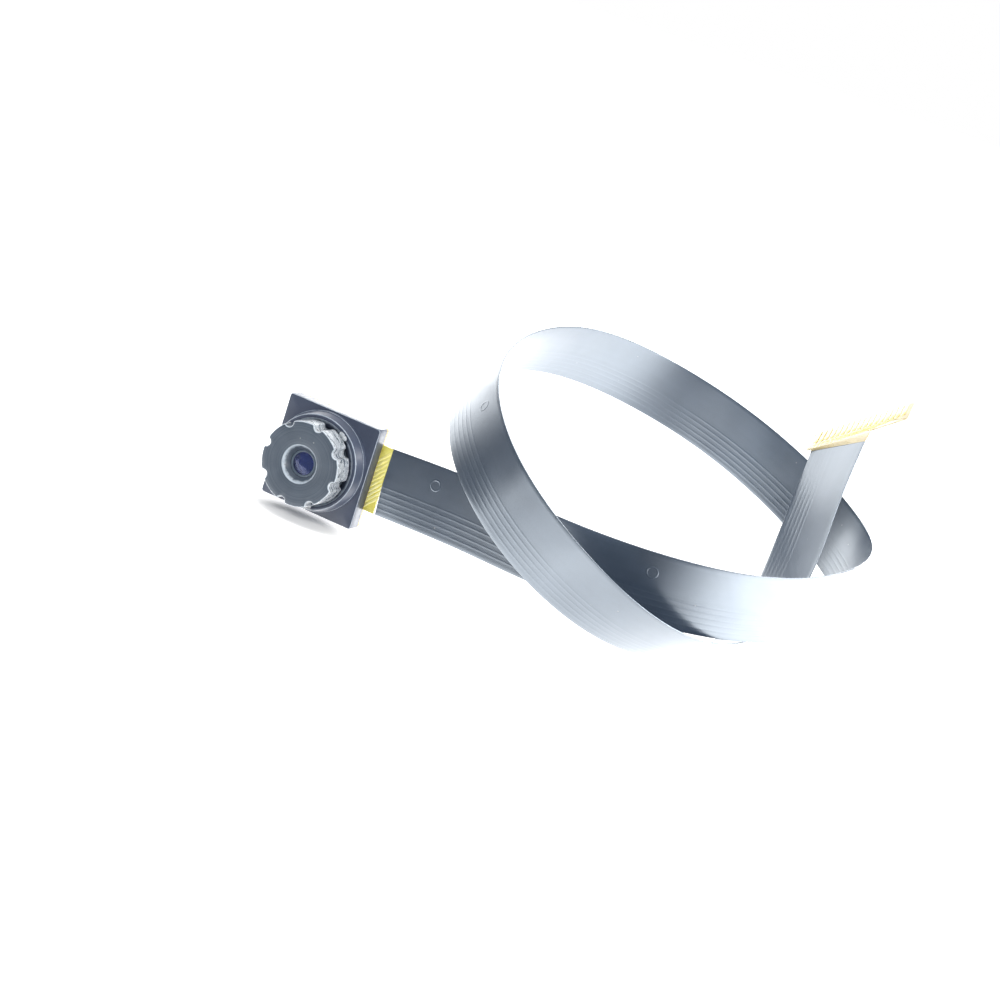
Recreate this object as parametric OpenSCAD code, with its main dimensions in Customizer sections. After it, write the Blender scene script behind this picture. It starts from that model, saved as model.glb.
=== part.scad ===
// Compact fixed-focus camera module: square lens holder, threaded lens barrel
// with a notched flange, sensor on a thin board, and one flat flexible circuit
// that leaves the side of the board, makes one and a half springy loops and
// ends in a wider plate with gold contact fingers.
// Millimetres. +Z up. The module stands on one side face at z = 0, the lens
// looks along -Y and the flexible circuit leaves towards +X. The origin is the
// bottom centre of the module itself, without the flexible circuit.

/* [Lens holder] */
// side of the square holder
holder_w = 8.5; // [8.4:0.1:9.2]
// thickness of the square base
base_t = 1.3; // [1.3:0.05:1.6]
// corner rounding of the base
holder_r = 0.2; // [0.1:0.05:0.4]
// diameter of the round boss where it meets the base
boss_d1 = 8.0; // [7.9:0.1:8.2]
// diameter of the round boss at its rim
boss_d2 = 7.75; // [7.6:0.05:7.85]
// height of the round boss
boss_h = 1.27; // [1.1:0.05:1.45]

/* [Lens barrel] */
// diameter of the notched flange
flange_d = 6.86; // [6.6:0.02:6.96]
// thickness of the notched flange
flange_t = 1.96; // [1.7:0.05:2.2]
// free gap between the boss rim and the flange
focus_gap = 0.27; // [0.2:0.02:0.4]
// number of notches round the flange
notches = 8; // [6:1:9]
// radius of each notch
notch_r = 0.38; // [0.3:0.02:0.42]
// diameter of the recess in the front face
recess_d = 3.06; // [2.8:0.02:3.4]
// depth of the recess in the front face
recess_h = 0.55; // [0.4:0.05:0.6]
// pitch of the focusing thread
thread_pitch = 0.35; // [0.25:0.05:0.4]

/* [Sensor board] */
// thickness of the flexible circuit under the sensor
board_t = 0.2; // [0.15:0.01:0.25]
// thickness of the stiffener behind it
stiffener_t = 0.3; // [0.2:0.05:0.5]
// side of the sensor die along the ribbon
sensor_w = 4.4; // [4:0.1:4.6]
// side of the sensor die across the ribbon
sensor_h = 3.8; // [3.4:0.1:4.2]

/* [Flexible circuit] */
// width of the flat ribbon
ribbon_w = 5.6; // [5:0.1:5.8]
// thickness of the flat ribbon
ribbon_t = 0.15; // [0.12:0.01:0.2]
// height of the ribbon's middle above the ground at the module
ribbon_z = 4.4; // [4.2:0.05:4.6]
// bare length between the holder's side and the black ribbon
neck_l = 0.95; // [0.8:0.05:1.1]
// number of traces bared on the neck
neck_traces = 10; // [8:1:12]

/* [Contact end] */
// width of the plate at the far end
end_w = 9.2; // [8.8:0.1:10]
// length of the plate at the far end
end_l = 4.0; // [3.6:0.1:4.4]
// how far the plate reaches past the ribbon on its lower edge
end_lip = 0.4; // [0.3:0.05:0.5]
// distance between neighbouring contact fingers
finger_pitch = 0.5; // [0.45:0.05:0.6]
// width of a contact finger
finger_w = 0.3; // [0.2:0.02:0.36]
// length of a contact finger
finger_l = 2.6; // [2.2:0.1:2.8]

/* [Hidden] */
$fn = 96;
// distances along the lens axis, measured forward from the face of the base
flange_z = boss_h + focus_gap;
front_z = flange_z + flange_t;
board_z = -base_t;
back_z = board_z - board_t - stiffener_t;
// depth of the base's front face in the part's frame, so the module is centred
face_y = (front_z + back_z) / 2;
board_y = face_y + base_t + board_t / 2;
// focusing thread: the barrel's crest and the holder's wall
thread_d = 5.9;
bore_d = 6.0;
thread_depth = 0.14;
// height of the wider ring at the foot of the boss
step_h = 0.35;
// inner shelf that carries the filter
shelf_top = -0.3;
shelf_low = -0.5;
shelf_hole = 3.9;
pocket_w = 4.7;
filter_t = 0.25;
glue_t = 0.04;
cavity_top = shelf_low - glue_t - filter_t;
cavity_wall = 0.65;
cavity_w = holder_w - 2 * cavity_wall;
// barrel inside
barrel_low = -0.24;
stack_d = 4.3;
stack_r = stack_d / 2;
stop_low = front_z - recess_h - 0.2;
stop_d = recess_d - 0.24;
dome_r = stop_d / 2 - 0.1;
// width of the flat rims on which the lens elements seat
rim_front = 0.6;
rim_middle = 0.55;
rim_rear = 0.45;
// lens stack, bottom of each element
retainer_low = -0.1;
rear_low = 0.2;
spacer_low = 0.95;
middle_low = 1.2;
shade_low = 1.85;
front_low = 1.9;
notch_turn = 34;
// reach of an adhesive bead from the flange over the boss rim
bead_w = 0.36;
// small parts on the board: die, its wires and the capacitors beside it
die_t = 0.2;
wire_reach = 0.35;
wire_rise = 0.1;
wire_t = 0.03;
wires = 9;
cap_size = [0.6, 0.3, 0.3];
cap_gap = 0.35;
caps = 4;
// far end: the bare bend and the plate's direction (heading, climb, lean)
bend_l = 0.5;
end_dir = [100, 15, 50];
film_t = 0.12;
finger_t = 0.035;
end_back_t = 0.2;
// shape of the ribbon: route points from the neck's end, and how far its upper
// edge leans at each of them, in degrees
exit = [holder_w / 2 + neck_l, board_y, ribbon_z];
route = [[0, 0, 0], [8, -0.5, 0.5], [15.5, -3.5, 1], [23.5, -4, 1.5],
    [31.5, -0.5, 2], [35.5, 6.5, 3], [36, 14.5, 4], [32.5, 22, 4.5],
    [26, 27, 6.5], [18, 28.5, 9], [10.5, 26, 11], [5.5, 19.5, 12.5],
    [3.5, 11.5, 12.5], [3.5, 3.5, 11], [6.5, -3.5, 8.5], [12.5, -8.5, 5],
    [19.5, -8.5, 1], [26, -4, -2.5], [30, 3.5, -3], [31, 10.5, 1],
    [29.5, 16.5, 7], [28.5, 22, 12.5]];
leans = [0, -8, -4, 5, 8, 5, 10, 13, 7, -7, -17, -25, -32, -31, -24, -6, 22,
    50, 60, 48, 40, 46];
ribbon_rings = 80;
bend_rings = 6;

// helpers
function unit(v) = v / norm(v);
// sideways direction of the ribbon for a travel direction and a lean
function level(t) = unit([0, 0, 1] - t * t[2]);
function across(t, a) = level(t) * cos(a) + cross(t, level(t)) * sin(a);
function heading(d) = [cos(d[0]) * cos(d[1]), sin(d[0]) * cos(d[1]), sin(d[1])];
// smooth curve steered by a list: extended by one step at both ends
function extended(p) = let (n = len(p) - 1)
    concat([2 * p[0] - p[1]], p, [2 * p[n] - p[n - 1]]);
function point_at(q, i, f) = (q[i] * pow(1 - f, 3)
    + q[i + 1] * (3 * pow(f, 3) - 6 * f * f + 4)
    + q[i + 2] * (-3 * pow(f, 3) + 3 * f * f + 3 * f + 1)
    + q[i + 3] * pow(f, 3)) / 6;
function slope_at(q, i, f) = (-q[i] * pow(1 - f, 2)
    + q[i + 1] * (3 * f * f - 4 * f)
    + q[i + 2] * (-3 * f * f + 2 * f + 1) + q[i + 3] * f * f) / 2;
// flat strip section: eight corners, slightly broken edges
function strip_section(w, t) = let (a = w / 2, b = t / 2, c = t / 4)
    [[a - c, b], [a, b - c], [a, c - b], [a - c, -b],
     [c - a, -b], [-a, c - b], [-a, b - c], [c - a, b]];
function ring_at(p, t, s, w, h) =
    [for (q = strip_section(w, h)) p + s * q[0] + cross(t, s) * q[1]];

// closed skin through a list of eight-cornered rings
module strip(rings) {
    n = len(rings);
    points = [for (r = rings) each r];
    sides = [for (i = [0:n - 2], j = [0:7])
        let (a = i * 8 + j, b = i * 8 + (j + 1) % 8)
        each [[a, b, b + 8], [a, b + 8, a + 8]]];
    polyhedron(points, concat(sides, [[for (j = [7:-1:0]) j]],
        [[for (j = [0:7]) (n - 1) * 8 + j]]), convexity = 8);
}

// children drawn with the lens axis up, zero at the base's front face
module on_axis() {
    translate([0, face_y, holder_w / 2]) rotate([90, 0, 0]) children();
}

module square_block(w, r, z0, z1) {
    translate([0, 0, z0]) linear_extrude(z1 - z0)
        union() {
            square([w - 2 * r, w], center = true);
            square([w, w - 2 * r], center = true);
            for (x = [-1, 1], y = [-1, 1])
                translate([x, y] * (w / 2 - r)) circle(r, $fn = 32);
        }
}

module disc(d, z0, z1) {
    translate([0, 0, z0]) cylinder(d = d, h = z1 - z0);
}

// optics
module lens_holder() color([0.16, 0.18, 0.22]) on_axis() difference() {
    union() {
        square_block(holder_w, holder_r, board_z, 0);
        disc(boss_d1 + 0.2, 0, step_h);
        translate([0, 0, step_h])
            cylinder(d1 = boss_d1, d2 = boss_d2, h = boss_h - step_h);
    }
    // threaded bore with a wider mouth
    disc(bore_d, shelf_top, boss_h + 1);
    translate([0, 0, boss_h - 0.3])
        cylinder(d1 = bore_d, d2 = flange_d + 0.2, h = 0.301);
    disc(shelf_hole, shelf_low - 0.01, shelf_top + 0.01);
    translate([0, 0, (cavity_top + shelf_low) / 2])
        cube([pocket_w, pocket_w, shelf_low - cavity_top + 0.001], center = true);
    translate([0, 0, (board_z + cavity_top) / 2 - 0.005])
        cube([cavity_w, cavity_w, cavity_top - board_z + 0.01], center = true);
}

module lens_barrel() color([0.15, 0.17, 0.21]) on_axis() difference() {
    rotate_extrude() polygon(concat(
        [[0, barrel_low], [thread_d / 2 - thread_depth, barrel_low]],
        [for (k = [0:floor((boss_h - barrel_low) / thread_pitch) - 1])
            let (z = barrel_low + 0.1 + k * thread_pitch)
            each [[thread_d / 2 - thread_depth, z],
                [thread_d / 2, z + thread_pitch * 0.4],
                [thread_d / 2, z + thread_pitch * 0.6]]],
        [[thread_d / 2 - thread_depth, boss_h], [thread_d / 2 - thread_depth, flange_z],
         [flange_d / 2, flange_z], [flange_d / 2, front_z - 0.12],
         [flange_d / 2 - 0.12, front_z], [0, front_z]]));
    // pocket for the lens stack, the stop and the recess in front of it
    disc(stack_d, barrel_low - 1, stop_low);
    disc(stop_d, stop_low - 1, front_z + 1);
    translate([0, 0, front_z - recess_h])
        cylinder(d1 = stop_d, d2 = recess_d, h = recess_h + 0.001);
    for (k = [0:notches - 1]) rotate(notch_turn + k * 360 / notches)
        translate([flange_d / 2, 0, flange_z - 0.1])
            cylinder(r = notch_r, h = flange_t + 1, $fn = 32);
}

// dome of a lens element: radius r, rising by h over the height z
function dome(r, z, h) = [for (k = [8:-1:0]) [r * k / 8, z + h * (1 - k * k / 64)]];

module front_lens() color([0.20, 0.22, 0.42]) on_axis() rotate_extrude()
    polygon(concat([[0, front_low + 0.1], [stack_r - rim_front, front_low],
        [stack_r, front_low], [stack_r, stop_low], [dome_r, stop_low]],
        dome(dome_r, stop_low, 0.3)));

module ring_between(rim, z0, z1) difference() {
    disc(stack_d, z0, z1);
    disc(stack_d - 2 * rim, z0 - 1, z1 + 1);
}

module shade_ring() color([0.06, 0.06, 0.07]) on_axis()
    ring_between(rim_front, shade_low, front_low);

module middle_lens() color([0.80, 0.86, 0.88]) on_axis() rotate_extrude()
    polygon(concat([[0, middle_low + 0.22], [stack_r * 0.4, middle_low + 0.14],
        [stack_r - rim_middle, middle_low], [stack_r, middle_low],
        [stack_r, shade_low], [stack_r - rim_front, shade_low]],
        dome(stack_r - rim_front - 0.1, shade_low, -0.2)));

module spacer_ring() color([0.09, 0.09, 0.10]) on_axis()
    ring_between(rim_middle, spacer_low, middle_low);

module rear_lens() color([0.80, 0.86, 0.88]) on_axis() rotate_extrude()
    polygon(concat([[0, rear_low + 0.12], [stack_r * 0.5, rear_low + 0.04],
        [stack_r - rim_rear, rear_low], [stack_r, rear_low],
        [stack_r, spacer_low], [stack_r - rim_middle, spacer_low]],
        dome(stack_r - rim_middle - 0.05, spacer_low, 0.1)));

module retaining_ring() color([0.09, 0.09, 0.10]) on_axis()
    ring_between(rim_rear, retainer_low, rear_low);

module ir_filter() color([0.55, 0.72, 0.78]) on_axis()
    translate([0, 0, shelf_low - glue_t - filter_t / 2])
        cube([pocket_w - 0.2, pocket_w - 0.2, filter_t], center = true);

module filter_adhesive() color([0.75, 0.72, 0.62]) on_axis() difference() {
    translate([0, 0, shelf_low - glue_t / 2])
        cube([pocket_w - 0.2, pocket_w - 0.2, glue_t], center = true);
    disc(shelf_hole + 0.2, shelf_low - 1, shelf_low + 1);
}

// beads of adhesive that lock the focus, between the notches
module thread_lock() color([0.86, 0.88, 0.90]) on_axis()
    for (k = [0, 2, 5]) rotate(notch_turn + (k + 0.5) * 360 / notches - 7)
        rotate_extrude(angle = 14) translate([flange_d / 2, boss_h]) polygon([
            [0, focus_gap], [0, 2 * focus_gap], [bead_w / 2, 1.5 * focus_gap],
            [bead_w, 0], [0.1, 0]]);

// board
// a die with a slightly raised active area
module image_sensor() color([0.24, 0.22, 0.30]) on_axis() union() {
    translate([-sensor_w / 2, -sensor_h / 2, board_z])
        cube([sensor_w, sensor_h, die_t]);
    translate([-sensor_w * 0.4, -sensor_h * 0.4, board_z])
        cube([sensor_w * 0.8, sensor_h * 0.8, die_t + 0.03]);
}

// one wire: up from the board, over the die's edge and down onto its rim
function wire_path(s) = let (t = wire_t, r = wire_reach, h = die_t + wire_rise)
    [for (p = [[0.01, 0], [r, 0], [r, t], [r - t, t], [t, h], [-0.2, h],
        [-0.24, die_t], [-0.2, die_t], [-0.18, h - t], [0.01, h - t]])
        [s * p[0], p[1]]];

module bond_wires() color([0.85, 0.68, 0.30]) on_axis()
    for (s = [-1, 1], k = [0:wires - 1])
        translate([s * sensor_w / 2, (k - (wires - 1) / 2) * sensor_h * 0.1, board_z])
            rotate([90, 0, 0]) translate([0, 0, -wire_t / 2]) linear_extrude(wire_t)
                polygon(wire_path(s));

module board_capacitors() color([0.62, 0.50, 0.38]) on_axis()
    for (k = [0:caps - 1])
        translate([(k - (caps - 1) / 2) * sensor_w * 0.36 - cap_size[0] / 2,
            -cavity_w / 2 + cap_gap, board_z]) cube(cap_size);

module sensor_board() color([0.72, 0.52, 0.16]) on_axis()
    square_block(holder_w, holder_r, board_z - board_t, board_z);

module board_stiffener() color([0.62, 0.64, 0.66]) on_axis()
    square_block(holder_w - 0.1, holder_r, back_z, board_z - board_t);

// flexible circuit
module flex_neck() color([0.93, 0.76, 0.20])
    translate([holder_w / 2, board_y - board_t / 2, ribbon_z - ribbon_w / 2])
        cube([neck_l, board_t, ribbon_w]);

module neck_copper() color([0.80, 0.52, 0.20])
    for (k = [0:neck_traces - 1])
        translate([holder_w / 2 + 0.1, board_y - board_t / 2 - 0.03,
            ribbon_z + (k - (neck_traces - 1) / 2) * ribbon_w * 0.92 / neck_traces - 0.11])
            cube([neck_l - 0.2, 0.03, 0.22]);

steer = extended([for (p = route) exit + p]);
steer_lean = extended(leans);
spans = len(route) - 1;

module flex_ribbon() color([0.17, 0.19, 0.23]) strip(
    [for (k = [0:ribbon_rings])
        let (v = k * spans / ribbon_rings, i = min(floor(v), spans - 1), f = v - i,
            t = k == 0 ? [1, 0, 0] : unit(slope_at(steer, i, f)))
        ring_at(point_at(steer, i, f), t, across(t, point_at(steer_lean, i, f)),
            ribbon_w, ribbon_t)]);

// the ribbon's last ring, and the plate's own frame a short bend further on
ribbon_end = exit + route[spans];
end_t0 = unit(route[spans] - route[spans - 1]);
end_t1 = heading(end_dir);
end_s0 = across(end_t0, leans[spans]);
end_s1 = across(end_t1, end_dir[2]);
bend_knee = ribbon_end + bend_l * end_t0;
plate_start = bend_knee + bend_l * end_t1;

module ribbon_bend() color([0.93, 0.78, 0.36]) strip(
    [for (k = [0:bend_rings])
        let (u = k / bend_rings,
            p = ribbon_end * pow(1 - u, 2) + bend_knee * 2 * u * (1 - u)
                + plate_start * u * u,
            t = unit(end_t0 * (1 - u) + end_t1 * u),
            a = end_s0 * (1 - u) + end_s1 * u,
            s = unit(a - t * (a * t)))
        ring_at(p, t, s, ribbon_w - 0.1, film_t)]);

// children drawn flat: x along the ribbon, y across it, z out of the inner face
module at_plate() {
    n = cross(end_t1, end_s1);
    multmatrix([[end_t1[0], end_s1[0], n[0], plate_start[0]],
        [end_t1[1], end_s1[1], n[1], plate_start[1]],
        [end_t1[2], end_s1[2], n[2], plate_start[2]]]) children();
}

plate_low = -ribbon_w / 2 - end_lip;
fingers = floor((end_w - 0.5) / finger_pitch);

module end_film() color([0.94, 0.82, 0.45]) at_plate()
    translate([0, plate_low, -film_t / 2]) cube([end_l, end_w, film_t]);

module contact_fingers() color([0.95, 0.80, 0.38]) at_plate()
    for (k = [0:fingers - 1])
        translate([end_l - finger_l - 0.2, plate_low + end_w / 2
            + (k - (fingers - 1) / 2) * finger_pitch - finger_w / 2,
            -film_t / 2 - finger_t])
            cube([finger_l, finger_w, finger_t]);

module end_stiffener() color([0.90, 0.84, 0.66]) at_plate()
    translate([0.9, plate_low, film_t / 2]) cube([end_l - 0.9, end_w, end_back_t]);

lens_holder();
lens_barrel();
front_lens();
shade_ring();
middle_lens();
spacer_ring();
rear_lens();
retaining_ring();
ir_filter();
filter_adhesive();
thread_lock();
image_sensor();
bond_wires();
board_capacitors();
sensor_board();
board_stiffener();
flex_neck();
neck_copper();
flex_ribbon();
ribbon_bend();
end_film();
contact_fingers();
end_stiffener();
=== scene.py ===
import math
import bpy
import bmesh
import numpy as np
from mathutils import Matrix, Vector


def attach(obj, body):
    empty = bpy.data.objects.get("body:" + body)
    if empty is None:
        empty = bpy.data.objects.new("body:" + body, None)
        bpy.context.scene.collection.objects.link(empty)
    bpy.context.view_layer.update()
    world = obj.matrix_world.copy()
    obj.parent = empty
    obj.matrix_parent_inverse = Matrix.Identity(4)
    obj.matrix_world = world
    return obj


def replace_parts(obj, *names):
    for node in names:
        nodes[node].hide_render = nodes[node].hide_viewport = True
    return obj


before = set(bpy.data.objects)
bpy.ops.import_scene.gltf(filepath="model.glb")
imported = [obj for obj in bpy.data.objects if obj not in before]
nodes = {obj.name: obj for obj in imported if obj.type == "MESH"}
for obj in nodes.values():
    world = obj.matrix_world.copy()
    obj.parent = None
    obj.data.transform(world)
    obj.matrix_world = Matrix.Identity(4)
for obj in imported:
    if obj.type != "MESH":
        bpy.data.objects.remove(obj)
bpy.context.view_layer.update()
mm = 0.001
print("frame loaded,", len(nodes), "solids")

cameraSetup = {
    "lookAt": (12.5, 9.15, 5.07),   # mm
    "azimuth": 20.7,                # degrees round from the lens axis
    "elevation": 13.26,
    "roll": 18.4,
    "distance": 188,                # mm
    "lens": 83.3,
}


def backVector(azimuth, elevation):
    # The way out from the object, where azimuth 0 is in front of the lens.
    a, e = math.radians(azimuth), math.radians(elevation)
    return Vector((math.sin(a) * math.cos(e), -math.cos(a) * math.cos(e), math.sin(e)))


def addObject(name, data):
    made = bpy.data.objects.new(name, data)
    bpy.context.scene.collection.objects.link(made)
    return made


def makeCamera(setup):
    # It stands back from the point it looks at, turned round its own axis by the roll.
    back = backVector(setup["azimuth"], setup["elevation"])
    a = math.radians(setup["azimuth"])
    level = Vector((math.cos(a), math.sin(a), 0))
    data = bpy.data.cameras.new("camera")
    data.lens = setup["lens"]
    data.clip_start, data.clip_end = 0.005, 20
    camera = addObject("camera", data)
    turn = Matrix((level, back.cross(level), back)).transposed()
    turn = turn @ Matrix.Rotation(math.radians(setup["roll"]), 3, "Z")
    place = (Vector(setup["lookAt"]) + back * setup["distance"]) * mm
    camera.matrix_world = Matrix.Translation(place) @ turn.to_4x4()
    bpy.context.scene.camera = camera


makeCamera(cameraSetup)
print("camera placed")


# Grids of points become closed pieces that ride on the module's one body.

weldReach = 2e-7      # metres


def gridPiece(name, points, smoothAngle, closedRows=False, capEnds=False, **layers):
    # Each point is joined to its neighbours by four-sided faces, once for each
    # copy. Every row closes on itself. The layers are kept for the materials.
    points = points.reshape(-1, *points.shape[-3:])
    copies, rows, columns = points.shape[:3]
    i = np.arange(rows if closedRows else rows - 1)[:, None]
    j = np.arange(columns)[None, :]
    nextRow, nextColumn = (i + 1) % rows, (j + 1) % columns
    faces = np.stack([i * columns + j, i * columns + nextColumn,
                      nextRow * columns + nextColumn, nextRow * columns + j], -1).reshape(-1, 4)
    start = (np.arange(copies) * rows * columns)[:, None, None]
    faces = (faces[None] + start).reshape(-1, 4).tolist()
    if capEnds:
        ends = np.arange(columns)
        faces += (start[:, 0] + ends[::-1]).tolist() + (start[:, 0] + (rows - 1) * columns + ends).tolist()
    mesh = bpy.data.meshes.new(name)
    mesh.from_pydata((points.reshape(-1, 3) * mm).tolist(), [], faces)
    for key, values in layers.items():
        layer = mesh.attributes.new(key, "FLOAT", "POINT")
        layer.data.foreach_set("value", np.broadcast_to(values, points.shape[:3]).astype(float).ravel())
    # points that meet are welded, and the faces are turned outwards
    work = bmesh.new()
    work.from_mesh(mesh)
    bmesh.ops.remove_doubles(work, verts=work.verts, dist=weldReach)
    bmesh.ops.dissolve_degenerate(work, dist=weldReach / 2, edges=work.edges)
    bmesh.ops.recalc_face_normals(work, faces=work.faces)
    work.to_mesh(mesh)
    work.free()
    mesh.polygons.foreach_set("use_smooth", np.ones(len(mesh.polygons), bool))
    mesh.set_sharp_from_angle(angle=math.radians(smoothAngle))
    piece = addObject(name, mesh)
    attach(piece, "root")
    return piece


def unitRows(v):
    # Each vector divided by its length.
    return v / np.linalg.norm(v, axis=-1, keepdims=True)


def fullTurn(count):
    # Angles spaced evenly once round: 2 pi * k / count.
    return np.linspace(0, 2 * np.pi, count, endpoint=False)


# The flexible circuit's line is steered by the same points as the solid's, in mm.

ribbon = {
    "exit": (5.2, 2.25, 4.4),
    "route": [
        (0, 0, 0), (8, -0.5, 0.5), (15.5, -3.5, 1), (23.5, -4, 1.5),
        (31.5, -0.5, 2), (35.5, 6.5, 3), (36, 14.5, 4), (32.5, 22, 4.5),
        (26, 27, 6.5), (18, 28.5, 9), (10.5, 26, 11), (5.5, 19.5, 12.5),
        (3.5, 11.5, 12.5), (3.5, 3.5, 11), (6.5, -3.5, 8.5), (12.5, -8.5, 5),
        (19.5, -8.5, 1), (26, -4, -2.5), (30, 3.5, -3), (31, 10.5, 1),
        (29.5, 16.5, 7), (28.5, 22, 12.5)],
    "leans": [0, -8, -4, 5, 8, 5, 10, 13, 7, -7, -17, -25, -32, -31, -24, -6,
              22, 50, 60, 48, 40, 46],      # degrees
    "width": 5.6, "thickness": 0.15, "edgeRadius": 0.03,
    "spare": 0.015,      # how far the faces lie inside the solid's
    "lines": (-0.4, -0.85, -1.3, -1.75, -2.2), "lineRise": 0.006, "lineWidth": 0.06,
    "marks": (4.6, 25.0, 45.5, 66.0, 112.1, 152.0),      # ring marks, along the film
    "markAcross": 1.2, "markRadius": 0.42, "markWide": 0.08, "markRise": 0.018, "markSink": 0.004,
}
skin = ribbon["thickness"] / 2 - ribbon["lineRise"] - ribbon["spare"]     # half the plain film


def makeRunner(setup, samples=6001):
    # A uniform cubic spline steered by the route points: each point pulls the
    # curve by a smooth hump, and both ends are carried on by one more step.
    points = np.array(setup["exit"]) + np.array(setup["route"], float)
    steer = np.hstack([points, np.array(setup["leans"], float)[:, None]])
    steer = np.vstack([2 * steer[0] - steer[1], steer, 2 * steer[-1] - steer[-2]])
    spans = len(points) - 1
    v = np.linspace(0, spans, samples)
    i = np.minimum(v.astype(int), spans - 1)
    f = (v - i)[:, None]
    curve = (steer[i] * (1 - f) ** 3 + steer[i + 1] * (3 * f ** 3 - 6 * f ** 2 + 4)
             + steer[i + 2] * (-3 * f ** 3 + 3 * f ** 2 + 3 * f + 1) + steer[i + 3] * f ** 3) / 6
    slope = (-steer[i] * (1 - f) ** 2 + steer[i + 1] * (3 * f ** 2 - 4 * f)
             + steer[i + 2] * (-3 * f ** 2 + 2 * f + 1) + steer[i + 3] * f ** 2) / 2
    line = curve[:, :3]
    gone = np.concatenate([[0], np.cumsum(np.linalg.norm(np.diff(line, axis=0), axis=1))])
    return {"line": line, "travel": unitRows(slope[:, :3]), "lean": curve[:, 3], "gone": gone}


def acrossFrom(travel, lean):
    # The width's direction: the upright square to the travel, tipped by the lean.
    level = unitRows(np.array([0, 0, 1.0]) - travel * travel[..., 2:3])
    lean = np.radians(lean)[..., None]
    return level * np.cos(lean) + np.cross(travel, level) * np.sin(lean)


def carried(runner, s, w, h):
    # A point s along the film, w across it and h out of its outer face:
    # line(s) + across(s) * w + outward(s) * h.
    s, w, h = np.broadcast_arrays(np.asarray(s, float), w, h)
    line, travel = (np.stack([np.interp(s, runner["gone"], runner[key][:, k]) for k in range(3)], -1)
                    for key in ("line", "travel"))
    travel = unitRows(travel)
    across = acrossFrom(travel, np.interp(s, runner["gone"], runner["lean"]))
    return line + across * w[..., None] + np.cross(travel, across) * h[..., None]


def makeRibbon(setup, runner, steps=400, stepsAcross=21):
    # The section is a flat loop with rounded edges. Its faces rise over every
    # trace by a bell curve: rise * exp(-((w - centre) / width)^2).
    half, r = setup["width"] / 2, setup["edgeRadius"]
    flatEnd = half - 0.05
    near = np.array([-2.2, -1.4, -0.7, 0, 0.7, 1.4, 2.2]) * setup["lineWidth"]
    across = np.unique(np.concatenate([np.linspace(-flatEnd, flatEnd, stepsAcross)]
                                      + [c + near for c in setup["lines"]]).round(3))
    bell = np.exp(-((across[:, None] - np.array(setup["lines"])) / setup["lineWidth"]) ** 2).sum(1)
    rise = skin + setup["lineRise"] * bell
    edge = np.radians([60, 30, 0, -30, -60])
    tip = half - r + r * np.cos(edge)
    w = np.concatenate([across, tip, across[::-1], -tip])
    h = np.concatenate([rise, skin * np.sin(edge), -rise[::-1], -skin * np.sin(edge)])
    flat, cut = 0 * across, 1 + 0 * edge
    s = np.linspace(0, runner["gone"][-1], steps)
    points = carried(runner, s[:, None], w[None, :], h[None, :])
    # the rounded edges are marked for a paler tone, part wear and part painted highlight; the bells over the
    # traces carry a painted sheen
    piece = gridPiece("flexRibbon", points, capEnds=True, smoothAngle=60,
                      edges=np.concatenate([flat, cut, flat, cut]),
                      ridges=np.concatenate([bell, 0 * edge, bell[::-1], 0 * edge]))
    # the film's own measure in metres: u along it and v across it
    measure = np.stack([np.repeat(s, len(w)), np.tile(w, len(s))], -1) * mm
    corner = np.zeros(len(piece.data.loops), int)
    piece.data.loops.foreach_get("vertex_index", corner)
    piece.data.uv_layers.new(name="filmMeasure").data.foreach_set("uv", measure[corner].ravel())
    return piece


def makeMarks(setup, runner):
    # A low ring pressed up out of the film: a bell of half a turn carried round
    # a circle, and the circle carried by the film so that it follows the bend.
    turn = fullTurn(32)
    tube = np.radians([180, 135, 90, 45, 0, -90])[:, None]
    radius = setup["markRadius"] + setup["markWide"] * np.cos(tube)
    rise = skin - setup["markSink"] + setup["markRise"] * np.maximum(np.sin(tube), 0)
    at = np.array(setup["marks"])[:, None, None]
    rings = carried(runner, at + radius * np.cos(turn), setup["markAcross"] + radius * np.sin(turn) + 0 * at,
                    rise + 0 * turn + 0 * at)
    return gridPiece("ringMarks", rings, closedRows=True, smoothAngle=60)


runner = makeRunner(ribbon)
flexRibbon = makeRibbon(ribbon, runner)
ringMarks = makeMarks(ribbon, runner)
print("ribbon made,", round(runner["gone"][-1], 1), "mm long")


# The bare neck between the holder and the black film.

neck = {
    "from": 4.25, "length": 0.95, "thickness": 0.2, "middle": (2.25, 4.4), "width": 5.6,
    "traces": 10, "traceWide": 0.33, "traceRise": 0.03, "slant": 1.0, "ripple": 0.012,
}


def makeNeck(n):
    # A film whose front face ripples: y = face + ripple * (1 + sin * sin), each of z and x.
    x = n["from"] + n["length"] * np.linspace(0, 1, 13)[:, None]
    z = np.linspace(-1, 1, 61) * (n["width"] / 2 - 0.02)
    front = n["middle"][0] - n["thickness"] / 2 + 0 * x + 0 * z
    wave = n["ripple"] * (1 + np.sin(z * 8.7 + 2.1 * x) * np.sin(z * 3.1 - 4 * x))
    back = front + n["thickness"]
    z = n["middle"][1] + z + 0 * x
    near, far = (np.stack([x + 0 * y, y, z], -1) for y in (front + wave, back))
    return gridPiece("neckFilm", np.concatenate([near, far[:, ::-1]], 1), capEnds=True, smoothAngle=40)


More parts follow.
